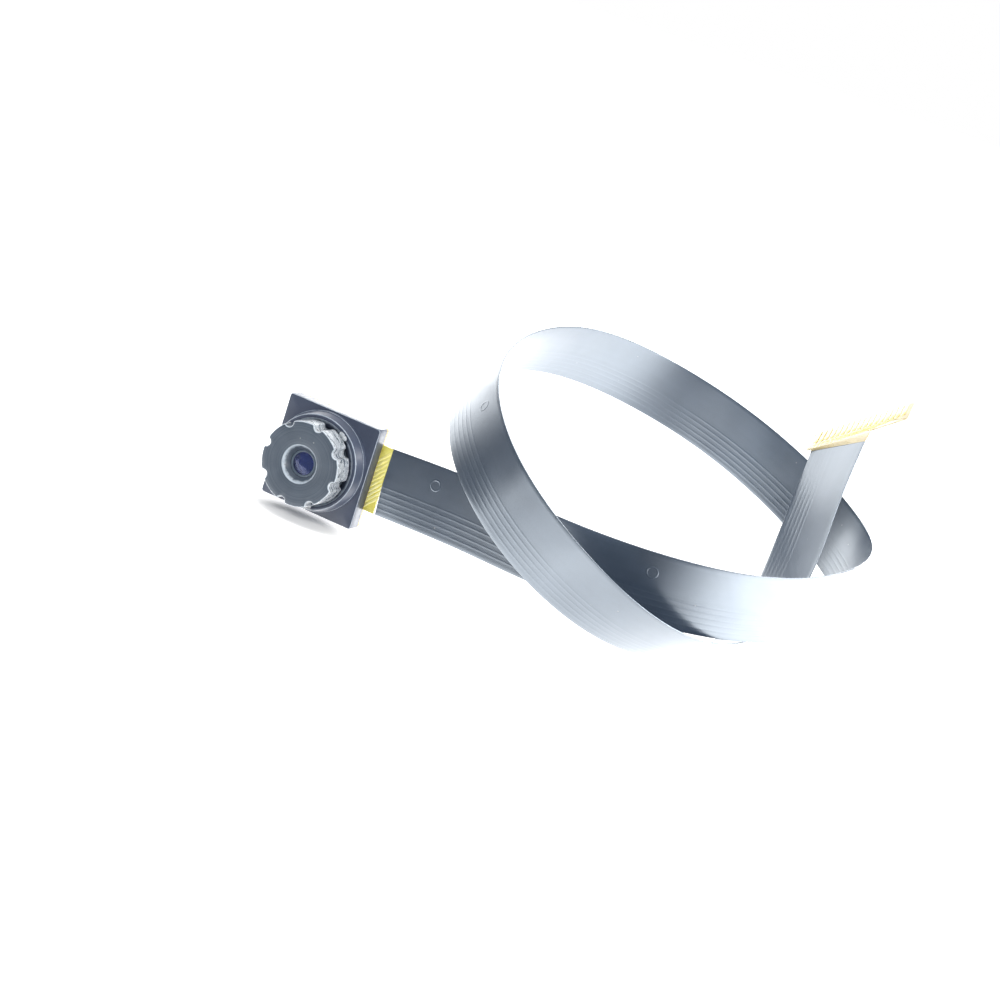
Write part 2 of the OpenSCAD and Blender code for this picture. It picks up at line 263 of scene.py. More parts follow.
def makeNeckTraces(n):
    # Flat copper strips with rounded shoulders that cross the neck at a slant.
    k = (np.arange(n["traces"]) - (n["traces"] - 1) / 2)[:, None, None]
    x = np.linspace(0.02, n["length"] - 0.02, 9)[:, None]
    shoulder = np.array([-1, -0.85, -0.4, 0.4, 0.85, 1])
    rise = np.array([0, 0.7, 1, 1, 0.7, 0]) * n["traceRise"]
    middle = k * (n["width"] - 1.3) / n["traces"] + n["slant"] * (x / n["length"] - 0.5)
    wide = n["traceWide"] / 2 * (1 + 0.18 * np.sin(7 * x + 5 * k))
    z = n["middle"][1] + middle + shoulder * wide
    y = n["middle"][0] - n["thickness"] / 2 + 0.022 - rise - 0.006 * np.sin(11 * x + 3 * k)
    return gridPiece("neckTraces", np.stack([n["from"] + x + 0 * z, y + 0 * z, z], -1),
                     capEnds=True, smoothAngle=50)


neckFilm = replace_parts(makeNeck(neck), "flex_neck")
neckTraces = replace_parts(makeNeckTraces(neck), "neck_copper")
print("neck made")


# The bare end plate, drawn flat: x along the film, y across it, z away from the fingers.

endPlate = {
    "heading": 100, "climb": 15, "lean": 50, "bend": 0.5, "width": 9.2, "length": 4.0, "lip": 0.4,
    "filmThick": 0.12, "fingerThick": 0.035, "fingers": 17, "pitch": 0.5, "fingerWide": 0.3,
    "fingerLong": 2.6, "fingerEnd": 0.2, "backFrom": 0.9, "backThick": 0.2,
    "traceWide": 0.13, "traceRise": 0.022, "viaRow": 0.62, "viaRadius": 0.09, "viaTube": 0.035,
    "corner": 0.25, "sink": 0.004,
}


def atPlate(points, e, runner):
    # Moves a shape drawn flat to the plate's own place and directions.
    a, c = math.radians(e["heading"]), math.radians(e["climb"])
    travel = np.array([math.cos(a) * math.cos(c), math.sin(a) * math.cos(c), math.sin(c)])
    across = acrossFrom(travel, np.array(e["lean"], float))
    steps = np.array(ribbon["route"][-1], float) - np.array(ribbon["route"][-2])
    start = runner["line"][-1] + e["bend"] * (unitRows(steps) + travel)
    return start + points @ np.stack([travel, across, np.cross(travel, across)])


def circle(angles):
    # The unit circle's points: the cosine and sine of each angle.
    return np.stack([np.cos(angles), np.sin(angles)], -1)


def raised(flat, z):
    # A flat loop's points, all at one height.
    return np.column_stack([flat, np.full(len(flat), z)])


def roundedLoop(x0, x1, y0, y1, r, bend=4):
    # A rectangle with quarter-circle corners, walked once round.
    quarter = circle(np.linspace(0, np.pi / 2, bend + 1)) * r
    corners = [((x1 - r, y1 - r), 0), ((x0 + r, y1 - r), 1), ((x0 + r, y0 + r), 2), ((x1 - r, y0 + r), 3)]
    turn = np.array([[0, 1], [-1, 0]])
    return np.vstack([np.array(c) + quarter @ np.linalg.matrix_power(turn, k) for c, k in corners])


def slab(loop, low, high, soft):
    # A flat plate: the loop drawn in by soft at both faces, and closed by a middle point.
    middle = loop.mean(0)
    inner = loop + unitRows(middle - loop) * soft
    rows = [(middle + 0 * loop, low), (inner, low), (loop, low + soft * 0.6),
            (loop, high - soft * 0.6), (inner, high), (middle + 0 * loop, high)]
    return np.array([raised(flat, z) for flat, z in rows])


def makeEndPieces(e, runner):
    # Plates are slabs of rounded loops. The fingers stand in a row at the pitch.
    long, wide, half, count = e["length"], e["width"], e["filmThick"] / 2, e["fingers"]
    yLow = -ribbon["width"] / 2 - e["lip"]
    film = slab(roundedLoop(0, long, yLow, yLow + wide, e["corner"]), -half, half, 0.03)
    back = slab(roundedLoop(e["backFrom"], long, yLow, yLow + wide, e["corner"]),
                half, half + e["backThick"], 0.04)
    across = (np.arange(count) - (count - 1) / 2) * e["pitch"]
    end, side = long - e["fingerEnd"], e["fingerWide"] / 2
    root = end - e["fingerLong"]
    finger = slab(roundedLoop(root, end, -side, side, 0.08, 3), -half - e["fingerThick"], -half + 0.01, 0.02)
    place = np.zeros((count, 1, 1, 3))
    place[:, 0, 0, 1] = yLow + wide / 2 + across
    # traces fan out: y eases from the film's spacing to the fingers' spacing
    x = np.linspace(0.04, root + 0.05, 9)[:, None]
    ease = np.clip(x / root, 0, 1)
    ease = ease * ease * (3 - 2 * ease)
    tight = across * (ribbon["width"] - 0.5) / (wide - 0.9)
    side = np.array([-1, -0.7, 0.7, 1])
    rise = np.array([0, 1, 1, 0]) * e["traceRise"] - e["sink"]
    y = tight[:, None, None] * (1 - ease) + place[:, :, :, 1] * ease + side * e["traceWide"] / 2
    traces = np.stack([x + 0 * y, y, -half - rise + 0 * y], -1)
    # vias: a low ring at each finger's root
    turn = fullTurn(16)
    tube = np.radians([180, 120, 60, 0, -90])[:, None]
    radius = e["viaRadius"] + e["viaTube"] * np.cos(tube)
    centre = tight[:, None, None] * 0.5 + place[:, :, :, 1] * 0.5
    vias = np.stack([e["viaRow"] + radius * np.cos(turn) + 0 * centre, centre + radius * np.sin(turn),
                     -half - 0.03 * np.sin(tube) + 0 * turn + 0 * centre], -1)
    wornAndLit = np.array([0, 0.6, 1, 1, 0.6, 0])[:, None]
    film, back, finger, traces, vias = (
        atPlate(points, e, runner) for points in (film, back, finger[None] + place, traces, vias))
    return {
        "endFilm": gridPiece("endFilm", film, smoothAngle=40, edges=wornAndLit),
        "endStiffener": gridPiece("endStiffener", back, smoothAngle=40, edges=wornAndLit),
        "contactFingers": gridPiece("contactFingers", finger, smoothAngle=50, edges=wornAndLit * 0.6),
        "endTraces": gridPiece("endTraces", traces, capEnds=True, smoothAngle=50),
        "endVias": gridPiece("endVias", vias, closedRows=True, smoothAngle=60),
    }


ends = makeEndPieces(endPlate, runner)
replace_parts(ends["endFilm"], "end_film")
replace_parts(ends["endStiffener"], "end_stiffener")
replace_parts(ends["contactFingers"], "contact_fingers")
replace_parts(flexRibbon, "flex_ribbon")
print("end plate made")


# The module's turned and moulded pieces are drawn with the lens axis upright.

holder = {
    "width": 8.5, "corner": 0.2, "baseThick": 1.3, "footRadius": 4.1, "footRise": 0.35,
    "bossLow": 4.0, "bossTop": 3.875, "bossRise": 1.27, "mouth": 3.53, "bore": 3.0,
    "shelfHole": 1.95, "shelfTop": -0.3, "shelfLow": -0.5, "pocket": 4.7, "pocketCorner": 0.15,
    "cavityTop": -0.79, "cavity": 7.2, "cavityCorner": 0.3, "middleHeight": 4.25, "faceY": 0.85,
}


def onAxis(points):
    # Turns the lens axis from upright to forward and lifts it to its height.
    return np.stack([points[..., 0], holder["faceY"] - points[..., 2],
                     holder["middleHeight"] + points[..., 1]], -1)


def squareRow(width, corner, z, side=16, bend=6):
    # A square with quarter-circle corners, walked once round from its right side.
    inner = width / 2 - corner
    quarter = inner + corner * circle(np.linspace(0, np.pi / 2, bend + 1))
    straight = np.linspace(0, 1, side, endpoint=False)[1:]
    runUp = np.stack([0 * straight + width / 2, -inner + 2 * inner * straight], -1)
    turn = np.array([[0, 1], [-1, 0]])
    piece = np.vstack([runUp, quarter])
    return raised(np.vstack([piece @ np.linalg.matrix_power(turn, k) for k in range(4)]), z)


def circleRow(radius, z, angles):
    # Points on a circle round the lens axis, all at one height.
    return raised(radius * circle(angles), z)


def makeHolder(h):
    # Rows walk from the board's cavity round the outside and back down the bore.
    # The third value of each is how pale that row's edge is painted: part wear, and on the rims a painted
    # highlight.
    w, c, low, rise, lift = h["width"] / 2, h["corner"], -h["baseThick"], h["bossRise"], h["footRise"]
    foot, top, mouth, bore, shelf = (
        h[key] for key in ("footRadius", "bossTop", "mouth", "bore", "shelfHole"))
    outer = [(w - 0.03, low, 0.5), (w, low + 0.03, 0.5), (w, -0.07, 0), (w - 0.01, -0.03, 1),
             (w - 0.035, -0.008, 1), (w - 0.07, 0, 0)]
    rounds = [(foot + 0.05, 0, 0), (foot + 0.012, 0.015, 0), (foot, 0.06, 0), (foot, lift - 0.05, 0),
              (foot - 0.02, lift - 0.01, 1), (foot - 0.05, lift, 0.5), (h["bossLow"] + 0.02, lift + 0.01, 0),
              (h["bossLow"], lift + 0.04, 0), (top + 0.01, rise - 0.09, 0), (top - 0.015, rise - 0.04, 1),
              (top - 0.05, rise - 0.01, 1), (top - 0.1, rise, 0.3), (mouth + 0.05, rise, 0.3),
              (mouth + 0.01, rise - 0.02, 1), (bore + 0.02, rise - 0.29, 0), (bore, rise - 0.32, 0),
              (bore, h["shelfTop"], 0), (shelf, h["shelfTop"], 0), (shelf, h["shelfLow"], 0)]
    first = squareRow(2 * w, c, 0)
    angles = np.arctan2(first[:, 1], first[:, 0])
    rows = [squareRow(h["cavity"], h["cavityCorner"], low)]
    rows += [squareRow(2 * r, c, z) for r, z, _ in outer]
    rows += [circleRow(r, z, angles) for r, z, _ in rounds]
    rows += [squareRow(h["pocket"], h["pocketCorner"], z) for z in (h["shelfLow"], h["cavityTop"])]
    rows += [squareRow(h["cavity"], h["cavityCorner"], h["cavityTop"])]
    wornAndLit = np.array([0] + [e for _, _, e in outer + rounds] + [0, 0, 0])[:, None]
    return gridPiece("lensHolder", onAxis(np.array(rows)), closedRows=True, smoothAngle=50, edges=wornAndLit)


barrel = {
    "radius": 3.43, "notches": 8, "notchRadius": 0.38, "firstNotch": 34,
    "underside": 1.54, "front": 3.5, "recess": 1.53, "throat": 1.12, "stop": 1.41,
    "recessFloor": 2.84, "stopLow": 2.75, "stack": 2.15, "low": -0.24,
    "root": 2.81, "crest": 2.95, "pitch": 0.35, "threads": 4,
    "gluedFrom": -75, "gluedTo": 115, "glueFade": 25,   # degrees of the flange's lit wall with adhesive and its painted sheen
}


def notchedLoop(b, arc=14, cut=18):
    # The flange's edge: a half-round notch whose centre is on the circle, then
    # an arc of that circle, again and again, with the corners averaged.
    radius, cutRadius = b["radius"], b["notchRadius"]
    reach = 2 * math.asin(cutRadius / 2 / radius)
    step = 2 * math.pi / b["notches"]
    centre = np.radians(b["firstNotch"]) + step * np.arange(b["notches"])[:, None]
    bite = centre - math.pi / 2 - reach / 2 - np.linspace(0, math.pi - reach, cut)
    notch = radius * circle(centre) + cutRadius * circle(bite)
    land = radius * circle(centre + reach + (step - 2 * reach) * np.arange(1, arc) / arc)
    loop = np.concatenate([notch, land], 1).reshape(-1, 2)
    for _ in range(2):
        loop = (np.roll(loop, 1, 0) + 2 * loop + np.roll(loop, -1, 0)) / 4
    return loop


def insetRow(loop, inset, z):
    # The loop moved inwards along its own normals.
    travel = np.roll(loop, -1, 0) - np.roll(loop, 1, 0)
    outward = unitRows(np.stack([travel[:, 1], -travel[:, 0]], -1))
    return raised(loop - outward * inset, z)


def makeBarrel(b):
    # Rows walk down the thread, out under the flange, up its notched side, in
    # over the face, and down through the recess and the stop.
    loop = notchedLoop(b)
    angles = np.arctan2(loop[:, 1], loop[:, 0])
    low, under, front, root, crest = (b[key] for key in ("low", "underside", "front", "root", "crest"))
    stack, recess, throat, deep = (b[key] for key in ("stack", "recess", "throat", "recessFloor"))
    inside = [(stack, low), (root - 0.06, low), (root, low + 0.02)]
    for k in range(b["threads"]):
        z = low + 0.1 + k * b["pitch"]
        inside += [(root, z), (crest, z + 0.4 * b["pitch"]), (crest, z + 0.6 * b["pitch"])]
    inside += [(root, 1.2), (root, under)]
    side = [(0.12, under, 0), (0.04, under + 0.02, 0.7), (0, under + 0.07, 0.3), (0, front - 0.12, 0),
            (0.015, front - 0.06, 1), (0.05, front - 0.02, 1), (0.12, front, 0.2)]
    middle = insetRow(loop, 0.12, front)
    inner = circleRow(recess + 0.06, front, angles)
    mouth = [(recess + 0.02, front - 0.008, 1), (recess - 0.01, front - 0.035, 1),
             (throat + 0.02, deep + 0.03, 0), (throat, deep - 0.005, 0.6), (throat, deep - 0.05, 0),
             (b["stop"], deep - 0.07, 0), (b["stop"], b["stopLow"], 0), (stack, b["stopLow"], 0)]
    rows = [circleRow(r, z, angles) for r, z in inside]
    rows += [insetRow(loop, d, z) for d, z, _ in side]
    rows += [middle + (inner - middle) * t for t in (0.2, 0.5, 1.0)]
    rows += [circleRow(r, z, angles) for r, z, _ in mouth]
    # edge values for the paler tone: wear, and on the flange's rim and the recess mouth a painted highlight
    bare = [0] * len(inside)
    wornAndLit = bare + [e for _, _, e in side] + [0, 0, 0.3] + [e for _, _, e in mouth]
    # the adhesive and its painted sheen reach the wall's rows only, on the lit side, and thin out at both
    # ends
    degrees = np.degrees(angles)
    fromEnds = np.array([degrees - b["gluedFrom"], b["gluedTo"] - degrees]) / b["glueFade"]
    wall = np.array(bare + [1, 1, 1, 1, 0.8, 0.3, 0] + [0] * (3 + len(mouth)))[:, None]
    return gridPiece("lensBarrel", onAxis(np.array(rows)), closedRows=True, smoothAngle=40,
                     edges=np.array(wornAndLit)[:, None], glued=wall * np.clip(fromEnds, 0, 1).prod(0))


def turned(name, profile, columns=96):
    # A profile of (radius, height) turned once round the axis.
    rows = np.array([circleRow(r, z, fullTurn(columns)) for r, z in profile])
    return gridPiece(name, onAxis(rows), closedRows=True, smoothAngle=50)


frontLens = {
    "rim": 2.15, "inner": 1.55, "low": 1.9, "seat": 2.75, "capRadius": 0.92, "capRise": 0.16,
    "collarRadius": 1.1, "collarTop": 2.81, "collarSlope": 0.02,
}


def makeFrontLens(f):
    # A cap over a belly: height = seat + rise * (1 - (r / capRadius)^2).
    r = np.linspace(1, 0, 17) * f["capRadius"]
    cap = np.column_stack([r, f["seat"] + 0.03 + f["capRise"] * (1 - (r / f["capRadius"]) ** 2)])
    r = np.linspace(0, f["inner"], 9)
    belly = np.column_stack([r, f["low"] + 0.1 * (1 - (r / f["inner"]) ** 2)])
    rim = [(f["rim"], f["low"]), (f["rim"], f["seat"]), (f["capRadius"], f["seat"])]
    return turned("frontLens", [*belly, *rim, *cap])


def makeCollar(f):
    # The frosted collar moulded round the clear cap, with a soft shoulder at both edges.
    low, top, slope = f["seat"] + 0.003, f["collarTop"], f["collarSlope"]
    inner, outer = f["capRadius"] + 0.005, f["collarRadius"]
    shoulder = [(outer, top - slope), (outer - 0.02, top - slope + 0.015), (inner + 0.04, top)]
    return turned("lensCollar", [(inner, low), (outer, low), *shoulder, (inner + 0.01, top - 0.01),
                                 (inner, top - 0.03)])


lock = {
    "beads": (0, 2, 5),     # the lands between notches that have one
    "halfAngle": 7, "low": 1.27, "out": 0.13, "swell": 0.2, "lift": 0.2, "height": 0.24,
}


def makeLock(k, b):
    # A bead drawn out along the gap: an oval section that swells and thins by
    # a few sines and is closed to a point at both ends.
    bead = np.array(k["beads"])[:, None, None]
    u = np.linspace(0, 1, 28)[:, None]
    turn = fullTurn(14)
    middle = b["firstNotch"] + (bead + 0.5) * 360 / b["notches"]
    angle = np.radians(middle + k["halfAngle"] * (2 * u - 1)) + 0 * turn
    uneven = 1 + 0.12 * np.sin(9 * u + bead) + 0.06 * np.sin(23 * u)
    swell = np.sqrt(np.clip(1 - (2 * u - 1) ** 2, 0, 1)) * uneven
    r = b["radius"] + k["out"] + k["swell"] * swell * np.cos(turn)
    z = k["low"] + k["lift"] + k["height"] * swell * np.sin(turn)
    points = np.stack([r * np.cos(angle), r * np.sin(angle), z], -1)
    return gridPiece("threadLock", onAxis(points), smoothAngle=80)


backPlates = {"boardThick": 0.2, "stiffenerThick": 0.3, "stiffenerInset": 0.05}


def makeBackPlate(name, width, low, high, soft):
    # A thin square plate with broken edges, closed by a middle point on each face.
    inner = width - 2 * soft
    sizes = [(inner, low), (width, low + soft), (width, high - soft), (inner, high)]
    rows = [squareRow(size, holder["corner"], z) for size, z in sizes]
    rows = [rows[0] * (0, 0, 1), *rows, rows[-1] * (0, 0, 1)]
    wornAndLit = np.array([0, 0.7, 1, 1, 0.7, 0])[:, None]
    return gridPiece(name, onAxis(np.array(rows)), smoothAngle=40, edges=wornAndLit)


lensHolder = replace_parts(makeHolder(holder), "lens_holder")
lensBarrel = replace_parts(makeBarrel(barrel), "lens_barrel")
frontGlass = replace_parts(makeFrontLens(frontLens), "front_lens")
lensCollar = makeCollar(frontLens)
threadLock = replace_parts(makeLock(lock, barrel), "thread_lock")
boardLow = -holder["baseThick"] - backPlates["boardThick"]
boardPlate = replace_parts(makeBackPlate("boardPlate", holder["width"], boardLow, -holder["baseThick"], 0.02),
                         "sensor_board")
stiffenerWide = holder["width"] - 2 * backPlates["stiffenerInset"]
stiffenerLow = boardLow - backPlates["stiffenerThick"]
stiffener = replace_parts(makeBackPlate("stiffenerPlate", stiffenerWide, stiffenerLow, boardLow, 0.04),
                        "board_stiffener")
print("module pieces made")


# Shader groups. Each effect is built once and placed in a material with its own values.

def put(tree, kind, inputs=(), **options):
    # Adds one node. Options are its settings; inputs pairs sockets with values or outputs.
    node = tree.nodes.new("ShaderNode" + kind)
    for key, value in options.items():
        setattr(node, key, value)
    for key, value in dict(inputs).items():
        if isinstance(value, bpy.types.NodeSocket):
            tree.links.new(value, node.inputs[key])
        else:
            node.inputs[key].default_value = value
    return node


def sums(tree, operation, *values, clamp=False):
    return put(tree, "Math", enumerate(values), operation=operation, use_clamp=clamp).outputs[0]


def spread(tree, value, fromLow, fromHigh, toLow=0.0, toHigh=1.0):
    # Carries a value from one span to another with a soft start and end, held at both.
    given = {"Value": value, "From Min": fromLow, "From Max": fromHigh, "To Min": toLow, "To Max": toHigh}
    return put(tree, "MapRange", given, interpolation_type="SMOOTHSTEP").outputs[0]


def noise(tree, where, scale, detail, **more):
    settings = {"Vector": where, "Scale": scale, "Detail": detail, **more}
    return put(tree, "TexNoise", settings).outputs[0]


def vectors(tree, operation, first, second):
    return put(tree, "VectorMath", {0: first, 1: second}, operation=operation).outputs[0]


def lengthOf(tree, vector):
    return put(tree, "VectorMath", {0: vector}, operation="LENGTH").outputs["Value"]


def blendColour(tree, share, first, second):
    first, second = (c if isinstance(c, bpy.types.NodeSocket) else (*c, 1) for c in (first, second))
    return put(tree, "Mix", {0: share, 6: first, 7: second}, data_type="RGBA").outputs[2]


def startGroup(name, inputs, outputs):
    # An input without a value of its own is a vector, and the others are floats.
    group = bpy.data.node_groups.new(name, "ShaderNodeTree")
    for label, value in inputs.items():
        kind = "NodeSocketVector" if value is None else "NodeSocketFloat"
        socket = group.interface.new_socket(name=label, in_out="INPUT", socket_type=kind)
        if value is not None:
            socket.default_value = value
    for label in outputs:
        group.interface.new_socket(name=label, in_out="OUTPUT", socket_type="NodeSocketFloat")
    return group, group.nodes.new("NodeGroupInput").outputs, group.nodes.new("NodeGroupOutput").inputs


def makeFineGrain():
    # Height: two noises, one four times finer. Mottle: a slow noise for colour.
    group, given, out = startGroup("fineGrain", {"Position": None, "Scale": 10}, ["Height", "Mottle"])
    coarse = noise(group, given["Position"], given["Scale"], 3)
    fine = noise(group, given["Position"], sums(group, "MULTIPLY", given["Scale"], 4), 2)
    height = sums(group, "MULTIPLY_ADD", fine, 0.4, sums(group, "MULTIPLY", coarse, 0.6))
    slow = noise(group, given["Position"], 0.45, 3, Distortion=0.6)
    group.links.new(height, out["Height"])
    group.links.new(spread(group, slow, 0.32, 0.68), out["Mottle"])
    return group


def makeEdgeWear():
    # Paler edges, part rubbed wear and part painted highlight: the piece's edge value less a broken noise,
    # lifted by the amount.
    group, given, out = startGroup("edgeWear", {"Position": None, "Edge": 0, "Amount": 0.5}, ["Wear"])
    broken = noise(group, given["Position"], 2.6, 5, Roughness=0.65)
    kept = sums(group, "SUBTRACT", given["Edge"], broken)
    wornAndLit = sums(group, "ADD", kept, sums(group, "SUBTRACT", given["Amount"], 0.5))
    ground = spread(group, given["Edge"], 0.05, 0.4)
    group.links.new(sums(group, "MULTIPLY", spread(group, wornAndLit, 0.1, 0.55), ground), out["Wear"])
    return group


def makeDust():
    # Dust: a small round speck in some cells, and in fewer of them a short fibre.
    group, given, out = startGroup("dustAndFibres", {"Position": None, "Amount": 0.2}, ["Dust"])
    masks = []
    for stretch, size, share in (((1.6, 1.6, 1.6), 0.13, 1.0), ((0.35, 2.4, 1.1), 0.07, 0.35)):
        pulled = vectors(group, "MULTIPLY", given["Position"], stretch)
        cells = put(group, "TexVoronoi", {"Vector": pulled, "Scale": 1})
        tone = put(group, "SeparateColor", {0: cells.outputs["Color"]}).outputs[0]
        chosen = sums(group, "LESS_THAN", tone, sums(group, "MULTIPLY", given["Amount"], share))
        speck = spread(group, cells.outputs["Distance"], size, size * 0.45)
        masks.append(sums(group, "MULTIPLY", chosen, speck))
    group.links.new(sums(group, "MAXIMUM", *masks), out["Dust"])
    return group


def makeHandling():
    # Smudge: a bent slow noise, where fingers have left the surface duller.
    group, given, out = startGroup("handling", {"Position": None, "Scale": 0.6}, ["Smudge"])
    slow = noise(group, given["Position"], given["Scale"], 4, Roughness=0.6, Distortion=1.4)
    group.links.new(spread(group, slow, 0.42, 0.66), out["Smudge"])
    return group


def makeFineLines():
    # Height: a noise that changes only along one measure, as turning or rolling leaves.
    group, given, out = startGroup("fineLines", {"Along": 0, "Count": 8}, ["Height"])
    settings = {"W": given["Along"], "Scale": given["Count"], "Detail": 2, "Roughness": 0.7}
    lines = put(group, "TexNoise", settings, noise_dimensions="1D")
    group.links.new(lines.outputs[0], out["Height"])
    return group


groups = {"grain": makeFineGrain(), "wearAndHighlight": makeEdgeWear(), "dust": makeDust(),
          "handling": makeHandling(), "lines": makeFineLines()}


def effect(tree, name, **inputs):
    return put(tree, "Group", inputs, node_tree=groups[name]).outputs


def newMaterial(name):
    material = bpy.data.materials.new(name)
    material.use_nodes = True
    return material, material.node_tree, material.node_tree.nodes["Principled BSDF"]


def setSockets(surface, values):
    for key, value in values.items():
        surface.inputs[key].default_value = value


def inMillimetres(tree, measure):
    return put(tree, "VectorMath", {0: measure, "Scale": 1000}, operation="SCALE").outputs[0]


layering = {
    "rubbedSmoother": 0.12, "gluedSmoother": 0.16, "glueHeight": 4,      # height in grains
    "dustShare": 0.6, "dustRough": 0.8, "dustColour": (0.45, 0.45, 0.43),
}


def makeFinish(name, look, along=None):
    # Every finish is layered in the same way: a mottled colour, paler at the edges by wear and by a painted
    # highlight, with a little dust, over a grain and, where given, fine lines.
    material, tree, surface = newMaterial(name)
    if look.get("onFilm"):
        measure = put(tree, "UVMap", uv_map="filmMeasure").outputs[0]
    else:
        measure = put(tree, "TexCoord").outputs["Object"]
    spot = inMillimetres(tree, measure)
    grain = effect(tree, "grain", Position=spot, Scale=look["grain"])
    colour = blendColour(tree, grain["Mottle"], look["colour"], look["mottle"])
    height = grain["Height"]
    if along:
        lines = effect(tree, "lines", Along=along(tree, spot), Count=look["lines"])["Height"]
        height = put(tree, "Mix", {0: look["lineShare"], 2: height, 3: lines}, data_type="FLOAT").outputs[0]
        shade = spread(tree, lines, 0.3, 0.7, 0, look["lineTone"])
        colour = blendColour(tree, shade, colour, look["wornAndLit"])
    smudge = effect(tree, "handling", Position=spot, Scale=look.get("smudges", 0.6))["Smudge"]
    rough = spread(tree, smudge, 0, 1, look["rough"], look["rough"] + look.get("roughRise", 0.08))
    # paler edges: rubbed wear, and on the dark plastics and the black film also a painted highlight along lit
    # rims and edges
    if look.get("wearAndHighlight"):
        edge = put(tree, "Attribute", attribute_name="edges").outputs["Fac"]
        wornAndLit = effect(tree, "wearAndHighlight", Position=spot, Edge=edge, Amount=look["wearAndHighlight"])["Wear"]
        colour = blendColour(tree, wornAndLit, colour, look["wornAndLit"])
        rough = sums(tree, "MULTIPLY_ADD", wornAndLit, -layering["rubbedSmoother"], rough, clamp=True)
    if look.get("glue"):
        # dried adhesive with painted sheen: pale threads where a bent noise crosses its middle value, and
        # pale smears, standing in partly for streaks of light on the wall
        film = put(tree, "Attribute", attribute_name="glued").outputs["Fac"]
        x, y, z = put(tree, "SeparateXYZ", {0: spot}).outputs
        turn = sums(tree, "ARCTAN2", sums(tree, "SUBTRACT", z, holder["middleHeight"]), x)
        around, deep = sums(tree, "MULTIPLY", turn, 2.6), sums(tree, "MULTIPLY", y, 2.4)
        wrapped = put(tree, "CombineXYZ", {0: around, 1: deep}).outputs[0]
        pulled = noise(tree, wrapped, 1.3, 3, Roughness=0.6, Distortion=1.6)
        thread = spread(tree, sums(tree, "ABSOLUTE", sums(tree, "SUBTRACT", pulled, 0.5)), 0.06, 0.004)
        smear = spread(tree, pulled, 0.38, 0.66, 0.08, 0.6)
        glueAndSheenShare = sums(tree, "MULTIPLY", film, sums(tree, "MAXIMUM", thread, smear))
        colour = blendColour(tree, glueAndSheenShare, colour, look["glue"])
        rough = sums(tree, "MULTIPLY_ADD", film, -layering["gluedSmoother"], rough, clamp=True)
        height = sums(tree, "MULTIPLY_ADD", glueAndSheenShare, layering["glueHeight"], height)
    # painted sheen: the film is painted paler over the trace ridges, where their tops catch light
    if look.get("ridgeSheenTone"):
        ridge = put(tree, "Attribute", attribute_name="ridges").outputs["Fac"]
        colour = blendColour(tree, sums(tree, "MULTIPLY", ridge, look["ridgeSheenTone"]), colour, look["wornAndLit"])
    if look.get("dust"):
        dust = effect(tree, "dust", Position=spot, Amount=look["dust"])["Dust"]
        share = sums(tree, "MULTIPLY", dust, layering["dustShare"])
        colour = blendColour(tree, share, colour, layering["dustColour"])
        rough = sums(tree, "MAXIMUM", rough, sums(tree, "MULTIPLY", dust, layering["dustRough"]))
    bump = put(tree, "Bump", {"Height": height, "Distance": look["depth"] * mm})
    for key, value in (("Base Color", colour), ("Roughness", rough), ("Normal", bump.outputs[0])):
        tree.links.new(value, surface.inputs[key])
    setSockets(surface, look.get("sockets", {}))
    return material


def fromAxis(tree, spot):
    # Distance from the lens axis, plus the depth along it, for rings on faces and walls.
    centred = vectors(tree, "ADD", spot, (0, 0, -holder["middleHeight"]))
    out = lengthOf(tree, vectors(tree, "MULTIPLY", centred, (1, 0, 1)))
    return sums(tree, "ADD", out, put(tree, "SeparateXYZ", {0: spot}).outputs[1])


def alongAxis(k):
    return lambda tree, spot: put(tree, "SeparateXYZ", {0: spot}).outputs[k]
